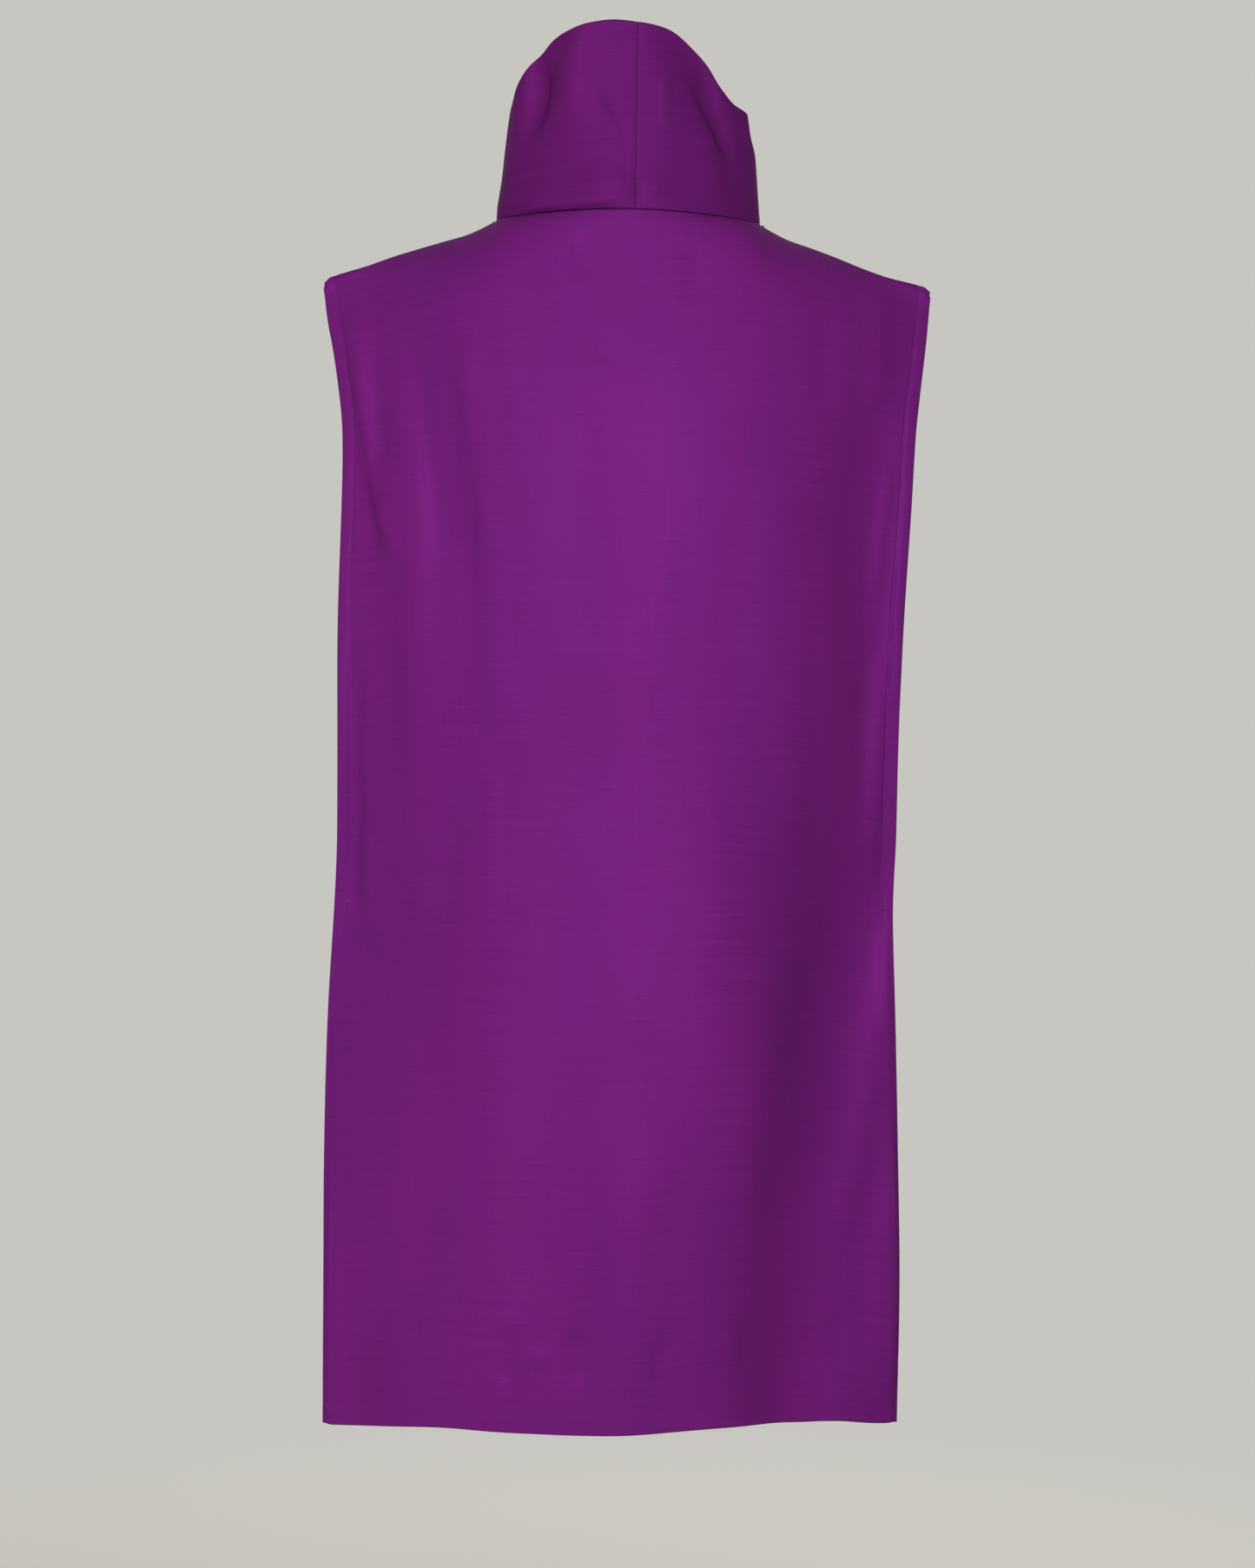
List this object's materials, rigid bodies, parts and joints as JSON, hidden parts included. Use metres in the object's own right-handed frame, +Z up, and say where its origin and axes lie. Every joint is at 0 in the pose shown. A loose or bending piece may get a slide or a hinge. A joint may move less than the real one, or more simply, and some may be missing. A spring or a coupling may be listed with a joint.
{
  "type": "sleeveless shift dress with a standing funnel collar",
  "caption": "Sleeveless straight shift dress in purple slubbed silk, hollow as it is worn, with a tall funnel collar, wide shoulders and armholes slit down to the hips.",
  "frame": {"origin": "on the centre line, level with the two points where the shoulder seams meet the collar; the wearer's shoulders carry the dress there", "axes": "+Z up, +Y the way the wearer faces, +X towards the wearer's right"},
  "size_m": [0.456, 0.224, 1.0578],
  "materials": {
    "silk": "slubbed plain-weave silk with a soft sheen",
    "collar_silk": "the same silk, folded double and stiffened"
  },
  "bodies": {
    "root": {"back_panel": "silk", "front_panel": "silk", "collar": "collar_silk"}
  },
  "joints": []
}
